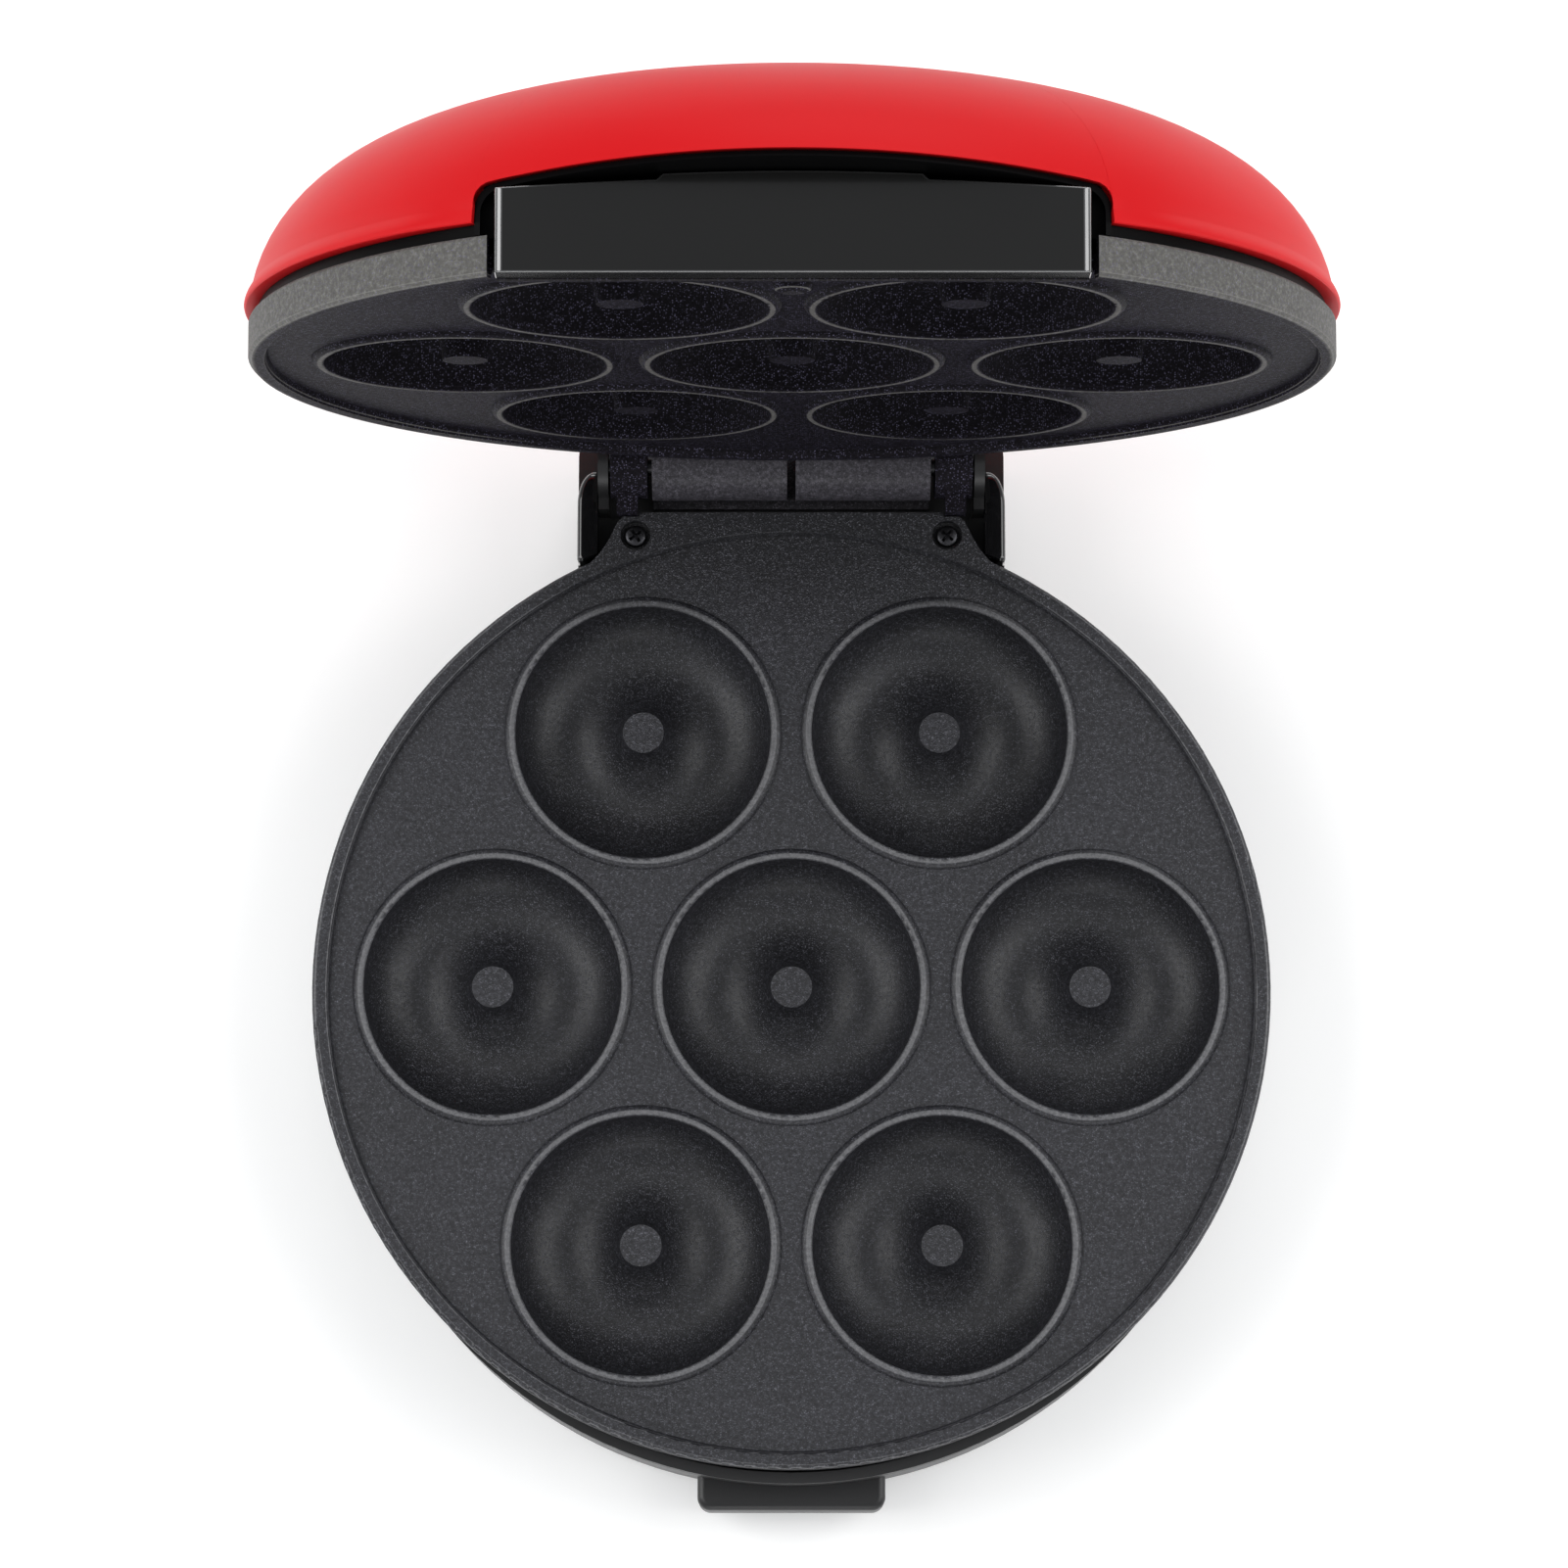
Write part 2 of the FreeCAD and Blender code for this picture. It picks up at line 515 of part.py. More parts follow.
def lens(x):
    top = domeHeight(hypot(x, lampY), 0)
    return turned([(0, top - 6), (4.0, top - 6), (4.0, top + 0.3),
                   ((2.9, top + 1.0), (1.0, top + 1.3)), (0, top + 1.3)], x, lampY)


def neonLamp(x):
    top = domeHeight(hypot(x, lampY), 0) - 6.4
    return turned([(0, top - 12), (2.4, top - 12), (2.4, top - 2),
                   ((1.7, top - 0.6), (0.4, top)), (0, top)], x, lampY)


def lidLeads():
    x, y = pitch * sin(radians(14)), pitch * cos(radians(14))
    high = topOfLid - (elementZ - 14)
    lampLow = domeHeight(hypot(lampX, lampY), 0) - 20.4
    leads = [lead([(sx, y + 2.5, high - 3), (sx * 0.7, 84.0, high - 3), (sx * 0.6, 97.0, high - 5),
                   (sx * 0.6, 100.0, 58.0)]) for sx in (x, -x)]
    leads += [lead([(sx, lampY, lampLow), (sx, lampY + 30, lampLow - 1), (sx * 1.2, 50.0, high + 1)])
              for sx in (lampX, -lampX)]
    return Part.makeCompound(leads)


# ---- assembly --------------------------------------------------------------------------

base = {
    "base_housing": baseHousing(),
    "lower_cooking_plate": lowerPlate(),
    "lower_heating_element": element(),
    "lower_reflector": reflector(),
    "lower_reflector_screws": reflectorScrewSet(),
    "thermostat": thermostat(),
    "thermal_fuse": thermalFuse(),
    "terminal_block": terminalBlock(),
    "base_leads": baseLeads(),
    "base_screws": baseScrews(),
    "ledge_screws": ledgeScrews(),
    "rubber_feet": feet(),
    "cord_gland": cordGland(),
    "hinge_block": hingeBlock(),
    "hinge_block_screws": hingeScrews(),
    "hinge_pins": hingePins(),
    "hinge_cap_right": hingeCap(),
    "hinge_cap_left": mirrored(hingeCap()),
}
lid = {
    "lid_cover": lidCover(),
    "lid_liner": lidLiner(),
    "upper_cooking_plate": upperPlate(),
    "upper_heating_element": toLid(element()),
    "upper_reflector": toLid(reflector()),
    "upper_reflector_screws": toLid(reflectorScrewSet()),
    "lid_handle": lidHandle(),
    "handle_screws": handleScrews(),
    "cover_screws": coverScrews(),
    "lid_plate_screws": lidPlateScrewSet(),
    "power_lens": lens(-lampX),
    "ready_lens": lens(lampX),
    "power_lamp": neonLamp(-lampX),
    "ready_lamp": neonLamp(lampX),
    "lid_leads": lidLeads(),
}

os.makedirs("parts", exist_ok=True)
for shape in lid.values():
    shape.rotate(V(0, hingeY, hingeZ), V(1, 0, 0), -openDeg)
whole = {**base, **lid}
bounds = FreeCAD.BoundBox()
for shape in whole.values():
    bounds.add(shape.optimalBoundingBox(False, False))
backShift = -(bounds.YMin + bounds.YMax) / 2
for name, shape in whole.items():
    shape.translate(V(0, backShift, 0))
    shape.exportStep("parts/" + name + ".step")
    print(name, "solids", len(shape.Solids), "valid", shape.isValid(), "cm3", round(shape.Volume / 1000, 2))
print("box", bounds, "shift", round(backShift, 3))
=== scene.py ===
import bpy, bmesh, json
import numpy as np
from math import asin, cos, pi, radians, sin
from mathutils import Matrix, Vector

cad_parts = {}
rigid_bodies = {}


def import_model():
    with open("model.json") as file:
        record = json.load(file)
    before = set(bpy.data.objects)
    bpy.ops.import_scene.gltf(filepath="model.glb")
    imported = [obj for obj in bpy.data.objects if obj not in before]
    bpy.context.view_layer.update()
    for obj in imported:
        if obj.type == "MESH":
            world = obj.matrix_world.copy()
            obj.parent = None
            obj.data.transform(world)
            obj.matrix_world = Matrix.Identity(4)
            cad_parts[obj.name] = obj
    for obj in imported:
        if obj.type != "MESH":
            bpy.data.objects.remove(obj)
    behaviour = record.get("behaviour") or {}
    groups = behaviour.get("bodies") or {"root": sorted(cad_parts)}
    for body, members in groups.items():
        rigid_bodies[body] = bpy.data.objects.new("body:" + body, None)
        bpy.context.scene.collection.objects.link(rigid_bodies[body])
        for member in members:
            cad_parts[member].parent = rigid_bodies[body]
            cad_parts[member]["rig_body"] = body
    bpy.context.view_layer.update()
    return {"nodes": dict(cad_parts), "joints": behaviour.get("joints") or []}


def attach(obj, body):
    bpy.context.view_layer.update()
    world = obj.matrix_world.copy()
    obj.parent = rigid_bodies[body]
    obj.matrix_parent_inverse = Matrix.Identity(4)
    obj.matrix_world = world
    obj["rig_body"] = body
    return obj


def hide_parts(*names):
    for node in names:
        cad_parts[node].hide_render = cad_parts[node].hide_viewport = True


# Seven-cavity donut maker, lid standing open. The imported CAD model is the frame; this script gives
# every piece its finish and redraws the pieces whose edges and curves show most.
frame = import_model()
nodes = frame["nodes"]
scene = bpy.context.scene
print("frame loaded:", len(nodes), "CAD nodes")

# Pieces are drawn in millimetres round the cooking plates' axis, with the lid closed.
# toFrame puts them in the frame, and swing opens the lid's pieces about the hinge.
hinge = Vector(frame["joints"][0]["pos_m"])
hingeBack = 122.3            # hinge behind the plates' axis, mm
openAngle = 86               # the lid stands this far open, degrees
axisShift = hinge.y - hingeBack * 0.001
toFrame = Matrix.Translation((0, axisShift, 0)) @ Matrix.Scale(0.001, 4)
swing = Matrix.Translation(hinge) @ Matrix.Rotation(radians(-openAngle), 4, "X") @ Matrix.Translation(-hinge)


def linear(code):
    # sRGB hex to the linear colour that a shader takes
    parts = [int(code[i:i + 2], 16) / 255 for i in (1, 3, 5)]
    return [c / 12.92 if c <= 0.04045 else ((c + 0.055) / 1.055) ** 2.4 for c in parts] + [1.0]


def addNode(tree, kind, inputs=None, stops=(), **settings):
    # adds a node, sets its properties and colour stops, and sets or links its inputs
    node = tree.nodes.new("ShaderNode" + kind)
    for key, value in settings.items():
        setattr(node, key, value)
    while stops and len(node.color_ramp.elements) < len(stops):
        node.color_ramp.elements.new(0.5)
    for i, (position, colour) in enumerate(stops):
        node.color_ramp.elements[i].position, node.color_ramp.elements[i].color = position, colour
    for key, value in (inputs or {}).items():
        if isinstance(value, bpy.types.NodeSocket):
            tree.links.new(value, node.inputs[key])
        else:
            node.inputs[key].default_value = value
    return node


def newMaterial(name, shaderInputs):
    material = bpy.data.materials.new(name)
    material.use_nodes = True
    tree = material.node_tree
    shader = tree.nodes["Principled BSDF"]
    for key, value in shaderInputs.items():
        shader.inputs[key].default_value = value
    where = addNode(tree, "TexCoord").outputs["Object"]
    return material, tree, shader, where


def grey(v):
    return [v, v, v, 1]


perMm = 1000.0               # texture scale for one repeat a millimetre
meetZ = 0.04525              # plane midway between the two plates with the lid closed, m
plateBand = (42.5, 45.5)     # heights of the plate's floor, beads and rim above the table, mm
# the coat's patterns, mm. Real grains and flecks are two or three times finer and wouldn't show, so both
# are drawn coarser
coatPattern = {"grain": 0.9, "fleck": 0.42, "cloud": 34}


def byHeight(pairs):
    # colour stops along plateBand, from pairs of a height in mm and a grey value
    low, high = plateBand
    return [((height - low) / (high - low), grey(v)) for height, v in pairs]


def speckledCoating(name, coat, fleck, fleckShare, roughness, specular, rearShade=1.0, crestHighlight=None,
                    lidFace=False, litWallTone=None):
    # PTFE non-stick sprayed on blasted, die-cast aluminium: a sandy skin with pale flecks, dull in the
    # hollows and brighter on the tops of the grains
    material, tree, shader, where = newMaterial(name, {"IOR": 1.4, "Specular IOR Level": specular,
                                                       "Coat Weight": 0.0 if lidFace else 0.08,
                                                       "Coat Roughness": 0.25})
    grain = addNode(tree, "TexNoise", {"Vector": where, "Scale": perMm / coatPattern["grain"], "Detail": 4.0,
                                       "Roughness": 0.75}).outputs["Fac"]
    cells = addNode(tree, "TexVoronoi", {"Vector": where, "Scale": perMm / coatPattern["fleck"], "Randomness": 1.0})
    wide = addNode(tree, "TexNoise", {"Vector": where, "Scale": perMm / coatPattern["cloud"], "Detail": 2.0})
    tone = addNode(tree, "ValToRGB", {"Fac": wide.outputs["Fac"]},
                   [(0.25, linear(coat[0])), (0.75, linear(coat[1]))]).outputs[0]

    # painted shade: the colour is darkened in the cavities, on the posts, in a low band on the beads' and the rim's
    # sides, and on the ledge by the hinge
    closed = fromPlates(tree, where, lidFace)
    height = addNode(tree, "SeparateXYZ", {"Vector": closed}).outputs[2]
    level = addNode(tree, "MapRange", {"Value": height, 1: plateBand[0] * 0.001, 2: plateBand[1] * 0.001}).outputs[0]
    paintedShade = addNode(tree, "ValToRGB", {"Fac": level},
                    byHeight([(42.9, 0.6), (42.97, 1), (43.1, 1), (43.25, 0.68), (43.55, 0.68), (43.9, 1)]))
    rear = addNode(tree, "MapRange", {"Value": aheadOfHinge(tree, closed, 0.08, 0.1), 3: rearShade, 4: 1.0})
    paintedShade = addNode(tree, "Math", {0: paintedShade.outputs[0], 1: rear.outputs[0]}, operation="MULTIPLY").outputs[0]
    tone = addNode(tree, "Mix", {"Factor": 1.0, 6: tone, 7: paintedShade}, data_type="RGBA",
                   blend_type="MULTIPLY").outputs[2]
    if litWallTone:                         # painted light: the side wall, turned to the lamps, is drawn paler than the face
        tone = addNode(tree, "Mix", {"Factor": sideWall(tree, closed), 6: tone, 7: linear(litWallTone)},
                       data_type="RGBA").outputs[2]

    # flecks in some of the cells, then the grains' paler tops
    pick = addNode(tree, "SeparateColor", {"Color": cells.outputs["Color"]}).outputs[0]
    chosen = addNode(tree, "ValToRGB", {"Fac": pick}, [(1 - fleckShare * 1.6, grey(0)), (1, grey(1))]).outputs[0]
    core = addNode(tree, "ValToRGB", {"Fac": cells.outputs["Distance"]}, [(0.12, grey(1)), (0.5, grey(0))]).outputs[0]
    spots = addNode(tree, "Math", {0: chosen, 1: core}, operation="MULTIPLY").outputs[0]
    dots = addNode(tree, "Mix", {"Factor": spots, 6: tone, 7: linear(fleck)}, data_type="RGBA").outputs[2]
    tops = addNode(tree, "ValToRGB", {"Fac": grain}, [(0.32, grey(0.4)), (0.5, grey(0.9)), (0.68, grey(2.0))])
    colour = addNode(tree, "Mix", {"Factor": 0.5 if lidFace else 1.0, 6: dots, 7: tops.outputs[0]},
                     data_type="RGBA", blend_type="MULTIPLY").outputs[2]
    if crestHighlight:                             # painted highlight: the beads' crests and the rim's corners are drawn paler, speckled by the grain, fading out towards the hinge
        crest = addNode(tree, "ValToRGB", {"Fac": level},
                        byHeight([(44.09, 0), (44.165, 1), (44.3, 1), (44.36, 0), (44.78, 0), (44.915, 1),
                                  (44.975, 0)])).outputs[0]
        crest = addNode(tree, "Math", {0: crest, 1: aheadOfHinge(tree, closed, 0.084, 0.094)},
                        operation="MULTIPLY").outputs[0]
        glintMask = addNode(tree, "Math", {0: crest, 1: grain}, operation="MULTIPLY").outputs[0]
        colour = addNode(tree, "Mix", {"Factor": glintMask, 6: colour, 7: linear(crestHighlight)}, data_type="RGBA").outputs[2]
    tree.links.new(colour, shader.inputs["Base Color"])

    rough = addNode(tree, "MapRange", {"Value": grain, 1: 0.3, 2: 0.7, 3: roughness[0], 4: roughness[1]})
    tree.links.new(rough.outputs[0], shader.inputs["Roughness"])
    skin = addNode(tree, "Math", {0: grain, 1: spots}, operation="ADD").outputs[0]
    bump = addNode(tree, "Bump", {"Strength": 0.6, "Distance": 0.00018, "Height": skin})
    tree.links.new(bump.outputs[0], shader.inputs["Normal"])
    return material


def fromPlates(tree, where, lidFace):
    # position measured from the plates' axis, as if the piece were in the base: the upper plate is
    # swung shut and turned over about the plane where the two plates meet
    if not lidFace:
        return addNode(tree, "VectorMath", {0: where, 1: (0, -axisShift, 0)}, operation="ADD").outputs[0]
    moved = addNode(tree, "VectorMath", {0: where, 1: tuple(-hinge)}, operation="ADD").outputs[0]
    shut = addNode(tree, "VectorRotate", {"Vector": moved, "Axis": (1, 0, 0), "Angle": radians(openAngle)})
    centred = addNode(tree, "VectorMath", {0: shut.outputs[0], 1: (0, hingeBack * 0.001, hinge.z)}, operation="ADD")
    turned = addNode(tree, "VectorMath", {0: centred.outputs[0], 1: (1, 1, -1)}, operation="MULTIPLY")
    return addNode(tree, "VectorMath", {0: turned.outputs[0], 1: (0, 0, 2 * meetZ)}, operation="ADD").outputs[0]


def aheadOfHinge(tree, closed, start, end):
    # 1 in front of start, 0 behind end, both in metres behind the plates' axis
    back = addNode(tree, "SeparateXYZ", {"Vector": closed}).outputs[1]
    return addNode(tree, "MapRange", {"Value": back, 1: start, 2: end, 3: 1.0, 4: 0.0}).outputs[0]


def sideWall(tree, closed):
    # 1 on the upper plate's side wall, 0 on its face and on the hinge knuckles behind it
    flat = addNode(tree, "VectorMath", {0: closed, 1: (1, 1, 0)}, operation="MULTIPLY")
    length = addNode(tree, "VectorMath", {0: flat.outputs[0]}, operation="LENGTH").outputs["Value"]
    outside = addNode(tree, "MapRange", {"Value": length, 1: 0.1121, 2: 0.1127, 3: 0.0, 4: 1.0}).outputs[0]
    return addNode(tree, "Math", {0: outside, 1: aheadOfHinge(tree, closed, 0.085, 0.1)},
                   operation="MULTIPLY").outputs[0]


def mouldedPlastic(name, colour, colour2, roughness, grainMm, grainHeight, ior=1.5, coatWeight=0.0, specular=0.5):
    # injection moulding: even colour with a faint drift, and the mould's spark-eroded or polished skin.
    # A real skin's grain is near 0.1 mm and wouldn't show, so grainMm draws it coarser
    material, tree, shader, where = newMaterial(name, {"IOR": ior, "Coat Weight": coatWeight, "Coat Roughness": 0.06,
                                                       "Specular IOR Level": specular})
    drift = addNode(tree, "TexNoise", {"Vector": where, "Scale": perMm / 45, "Detail": 1.0})
    tone = addNode(tree, "ValToRGB", {"Fac": drift.outputs["Fac"]}, [(0.0, linear(colour)), (1.0, linear(colour2))])
    tree.links.new(tone.outputs[0], shader.inputs["Base Color"])
    skin = addNode(tree, "TexNoise", {"Vector": where, "Scale": perMm / grainMm, "Detail": 4.0, "Roughness": 0.55})
    rough = addNode(tree, "MapRange", {"Value": drift.outputs["Fac"], 1: 0.0, 2: 1.0, 3: roughness * 0.8,
                                       4: roughness * 1.2}, clamp=False)
    tree.links.new(rough.outputs[0], shader.inputs["Roughness"])
    bump = addNode(tree, "Bump", {"Strength": 0.5, "Distance": grainHeight, "Height": skin.outputs["Fac"]})
    tree.links.new(bump.outputs[0], shader.inputs["Normal"])
    return material


def metal(name, colour, colour2, roughness, grainMm, grainHeight, stretch=(1, 1, 1)):
    # bare or plated metal: rolling, drawing or grinding marks run along the stretched axis. Real marks
    # are under 0.1 mm apart and wouldn't show, so grainMm draws them coarser
    material, tree, shader, where = newMaterial(name, {"Metallic": 1.0})
    along = addNode(tree, "Mapping", {"Vector": where, "Scale": stretch})
    marks = addNode(tree, "TexNoise", {"Vector": along.outputs[0], "Scale": perMm / grainMm, "Detail": 5.0,
                                       "Roughness": 0.65})
    tone = addNode(tree, "ValToRGB", {"Fac": marks.outputs["Fac"]}, [(0.3, linear(colour)), (0.72, linear(colour2))])
    tree.links.new(tone.outputs[0], shader.inputs["Base Color"])
    rough = addNode(tree, "MapRange", {"Value": marks.outputs["Fac"], 1: 0.3, 2: 0.7, 3: roughness * 0.75,
                                       4: roughness * 1.3})
    tree.links.new(rough.outputs[0], shader.inputs["Roughness"])
    bump = addNode(tree, "Bump", {"Strength": 0.4, "Distance": grainHeight, "Height": marks.outputs["Fac"]})
    tree.links.new(bump.outputs[0], shader.inputs["Normal"])
    return material


def braidedSleeve(name):
    # glass-fibre sleeve over silicone: slanting yarns about 0.9 mm apart
    material, tree, shader, where = newMaterial(name, {"IOR": 1.5, "Roughness": 0.85})
    yarns = addNode(tree, "TexWave", {"Vector": where, "Scale": perMm / 2.4, "Distortion": 1.5, "Detail": 2.0},
                    bands_direction="DIAGONAL")
    tone = addNode(tree, "ValToRGB", {"Fac": yarns.outputs["Fac"]},
                   [(0.2, linear("#a79f8d")), (0.6, linear("#e9e3d4"))])
    tree.links.new(tone.outputs[0], shader.inputs["Base Color"])
    bump = addNode(tree, "Bump", {"Strength": 0.7, "Distance": 0.00015, "Height": yarns.outputs["Fac"]})
    tree.links.new(bump.outputs[0], shader.inputs["Normal"])
    return material


def clearMoulding(name, colour, transmission, roughness, ior):
    # transparent polycarbonate or glass with a faint ripple from the mould
    material, tree, shader, where = newMaterial(name, {"IOR": ior, "Transmission Weight": transmission,
                                                       "Roughness": roughness, "Base Color": linear(colour)})
    ripple = addNode(tree, "TexNoise", {"Vector": where, "Scale": perMm / 1.5, "Detail": 2.0})
    bump = addNode(tree, "Bump", {"Strength": 0.15, "Distance": 0.0001, "Height": ripple.outputs["Fac"]})
    tree.links.new(bump.outputs[0], shader.inputs["Normal"])
    return material


# cooking faces: near-black and sandy, with painted highlight lines along the beads' crests and the rim's corners, and
# painted shade in the cavities and on the ledge
lowerCoating = speckledCoating("PTFE coated cast aluminium, lower plate", ("#252528", "#2b2b2f"), "#505158",
                               fleckShare=0.6, roughness=(0.5, 0.32), specular=0.5, rearShade=0.6, crestHighlight="#7c7c7e")
# the upper plate reflects little, and its coat is drawn darker than the lower plate's: painted shade, as its face is
# turned from the light. Its violet flecks are partly the coat's own flecks and partly painted glints, and its side wall
# is a paler grey, painted light
upperCoating = speckledCoating("PTFE coated cast aluminium, upper plate", ("#171519", "#1c1a1f"), "#68657c",
                               fleckShare=0.36, roughness=(0.6, 0.45), specular=0.05, crestHighlight="#7c7a77", lidFace=True,
                               litWallTone="#605f5c")
# the hinge castings: the same coat, thinner, so greyer and more even
hingeCoating = speckledCoating("PTFE coated cast aluminium, hinge", ("#343237", "#3b393e"), "#57555d",
                               fleckShare=0.6, roughness=(0.6, 0.45), specular=0.3)
# spark-eroded mould: a fine matt grain that spreads highlights
blackHousing = mouldedPlastic("black PBT, spark-eroded mould", "#101011", "#161617", roughness=0.4,
                              grainMm=0.55, grainHeight=0.00005)
# satin mould: strong flat red with hardly any highlight
redCover = mouldedPlastic("red PBT, satin mould", "#c40e14", "#cb141a", roughness=0.46, grainMm=1.2,
                          grainHeight=0.00001, ior=1.46, specular=0.12)
# polished mould: an even charcoal face with a soft sheen
charcoalHandle = mouldedPlastic("charcoal PBT, polished mould", "#121212", "#171716", roughness=0.16,
                                grainMm=6.0, grainHeight=0.00002, coatWeight=0.05, specular=0.42)
# painted highlight: the handle's bevelled edges get a paler, glossier charcoal, so they show as a bright line
edgeHighlight = mouldedPlastic("charcoal PBT, painted edge highlight", "#2a2a2a", "#303030", roughness=0.1, grainMm=6.0,
                            grainHeight=0.00001, ior=1.6, coatWeight=1.0, specular=1.0)
# polished black with sharp reflections
glossBlack = mouldedPlastic("black ABS, polished mould", "#0c0c0d", "#101011", roughness=0.1, grainMm=6.0,
                            grainHeight=0.00002, coatWeight=0.4)
# the liner is the blackest piece and shines least, so it reads as a dark gap: black plastic, drawn blacker as painted
# shade
linerBlack = mouldedPlastic("black PBT, semi-gloss mould", "#030304", "#050505", roughness=0.4, grainMm=0.9,
                            grainHeight=0.00003, ior=1.46, specular=0.05)
# dark brown, hardly shiny
phenolicBrown = mouldedPlastic("phenolic, compression moulded", "#241c19", "#2e2420", roughness=0.5,
                               grainMm=0.9, grainHeight=0.00008)
# chalky, off-white
steatite = mouldedPlastic("steatite, fired unglazed", "#d8d1bf", "#e4decf", roughness=0.75, grainMm=0.4,
                          grainHeight=0.00008, ior=1.56)
# dull black, no highlight
footRubber = mouldedPlastic("EPDM rubber, moulded", "#161616", "#1e1e1d", roughness=0.8, grainMm=0.5,
                            grainHeight=0.00008, ior=1.48)
# soft black with a slight sheen
glandRubber = mouldedPlastic("soft PVC, moulded", "#131314", "#19191a", roughness=0.55, grainMm=0.8,
                             grainHeight=0.00006, ior=1.52)
# scale-dark, blotched heater tube
elementSheath = metal("steel tube, annealed and oxidised", "#3b3936", "#57534c", roughness=0.5, grainMm=1.2,
                      grainHeight=0.00005)
# satin sheet with fine streaks along y
reflectorSteel = metal("aluminised steel, rolled", "#a9acad", "#c6c8c8", roughness=0.32, grainMm=2.2,
                       grainHeight=0.00003, stretch=(1, 0.08, 1))
# bright screws, faintly yellow
platedSteel = metal("zinc plated steel", "#b3b2a8", "#cfcdc2", roughness=0.3, grainMm=0.6, grainHeight=0.00003)
# dark screws on the ledge, with a blue-grey sheen
blackSteel = metal("black oxide steel", "#3a3a3d", "#48484b", roughness=0.38, grainMm=0.5, grainHeight=0.00003)
# dark pins, ground round
pinSteel = metal("phosphated steel, ground", "#2f2f31", "#424244", roughness=0.36, grainMm=0.4,
                 grainHeight=0.00003, stretch=(0.1, 1, 1))
# warm, smooth metal
fuseCase = metal("nickel plated brass, drawn", "#b9b29e", "#cfc9b6", roughness=0.28, grainMm=0.8,
                 grainHeight=0.00003)
# cream braid over the leads
leadSleeve = braidedSleeve("glass-fibre sleeve, braided")
# tinted caps that stay glassy, over clear bulbs
redLens = clearMoulding("red polycarbonate, moulded", "#d01410", transmission=0.75, roughness=0.12, ior=1.585)
greenLens = clearMoulding("green polycarbonate, moulded", "#12a83a", transmission=0.75, roughness=0.12, ior=1.585)
lampGlass = clearMoulding("soda-lime glass, blown", "#f6e9da", transmission=1.0, roughness=0.03, ior=1.52)

finishes = {
    "base_housing": blackHousing, "lower_cooking_plate": lowerCoating, "upper_cooking_plate": upperCoating,
    "hinge_block": hingeCoating, "lower_heating_element": elementSheath, "upper_heating_element": elementSheath,
    "lower_reflector": reflectorSteel, "upper_reflector": reflectorSteel, "lower_reflector_screws": platedSteel,
    "upper_reflector_screws": platedSteel, "base_screws": platedSteel, "ledge_screws": blackSteel,
    "hinge_block_screws": platedSteel, "handle_screws": platedSteel, "cover_screws": platedSteel,
    "lid_plate_screws": platedSteel, "thermostat": phenolicBrown, "thermal_fuse": fuseCase,
    "terminal_block": steatite, "base_leads": leadSleeve, "lid_leads": leadSleeve, "rubber_feet": footRubber,
    "cord_gland": glandRubber, "hinge_pins": pinSteel, "hinge_cap_left": glossBlack,
    "hinge_cap_right": glossBlack, "lid_cover": redCover, "lid_liner": linerBlack, "lid_handle": charcoalHandle,
    "power_lens": redLens, "ready_lens": greenLens, "power_lamp": lampGlass, "ready_lamp": lampGlass,
}
for nodeName, finish in finishes.items():
    mesh = nodes[nodeName].data
    for i in range(len(mesh.materials)):
        nodes[nodeName].material_slots[i].material = finish
    if not mesh.materials:
        mesh.materials.append(finish)
print("finishes given to", len(finishes), "nodes")


sharpAngle = radians(35)     # edges turning more than this stay crisp


def faceOutwards(mesh):
    work = bmesh.new()
    work.from_mesh(mesh)
    bmesh.ops.recalc_face_normals(work, faces=work.faces)
    work.to_mesh(mesh)
    work.free()


def addPiece(name, verts, faces, body, stands, finish):
    # a mesh in plate millimetres becomes a piece of the frame that stands for the CAD nodes named in stands
    mesh = bpy.data.meshes.new(name)
    mesh.from_pydata([tuple(v) for v in verts], [], faces)
    mesh.update()
    piece = bpy.data.objects.new(name, mesh)
    scene.collection.objects.link(piece)
    mesh.transform(swing @ toFrame if body == "lid" else toFrame)
    mesh.materials.append(finish)
    faceOutwards(mesh)
    mesh.shade_smooth()
    mesh.set_sharp_from_angle(angle=sharpAngle)
    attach(piece, body)
    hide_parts(*stands)
    return piece


bevelAngle = radians(38)     # edges turning more than this are rounded


def bevelled(piece, width, segments=3):
    bevel = piece.modifiers.new("edges", "BEVEL")
    bevel.width, bevel.segments = width * 0.001, segments
    bevel.limit_method, bevel.angle_limit = "ANGLE", bevelAngle
    bevel.harden_normals = True


# the domed cover: a superellipse turned round the axis, with a rolled lip and an arch over the handle
# (mm, lid closed; flatness and squareness are the superellipse's two powers)
cover = {"radius": 113.8, "top": 97.8, "springZ": 51.5, "flatness": 3.5, "squareness": 2.23, "wall": 2.4,
         "archHalf": 61.5, "archEndZ": 64.3, "archMidZ": 67.4, "archCorner": 4.0, "cornerPower": 2.2,
         "beltZ": 60.0, "lipZ": 56.2, "lipFade": 9, "edge": 0.45,
         "aroundCount": 220, "archCount": 29, "outCount": 40, "inCount": 30}
# the rolled lip below the belt, as (radius, height)
lipProfile = [(113.35, 59.45), (113.8, 58.75), (114.2, 58.05), (114.45, 57.4), (114.55, 56.9), (114.45, 56.45),
              (114.15, 56.22), (113.6, 56.2), (112.4, 56.2)]


def domeRadius(z, inset):
    share = (z - cover["springZ"]) / (cover["top"] - inset - cover["springZ"])
    return (cover["radius"] - inset) * (1 - min(1.0, share) ** cover["squareness"]) ** (1 / cover["flatness"])


def domeZ(r, inset):
    share = min(1.0, r / (cover["radius"] - inset))
    rise = (1 - share ** cover["flatness"]) ** (1 / cover["squareness"])
    return cover["springZ"] + (cover["top"] - inset - cover["springZ"]) * rise


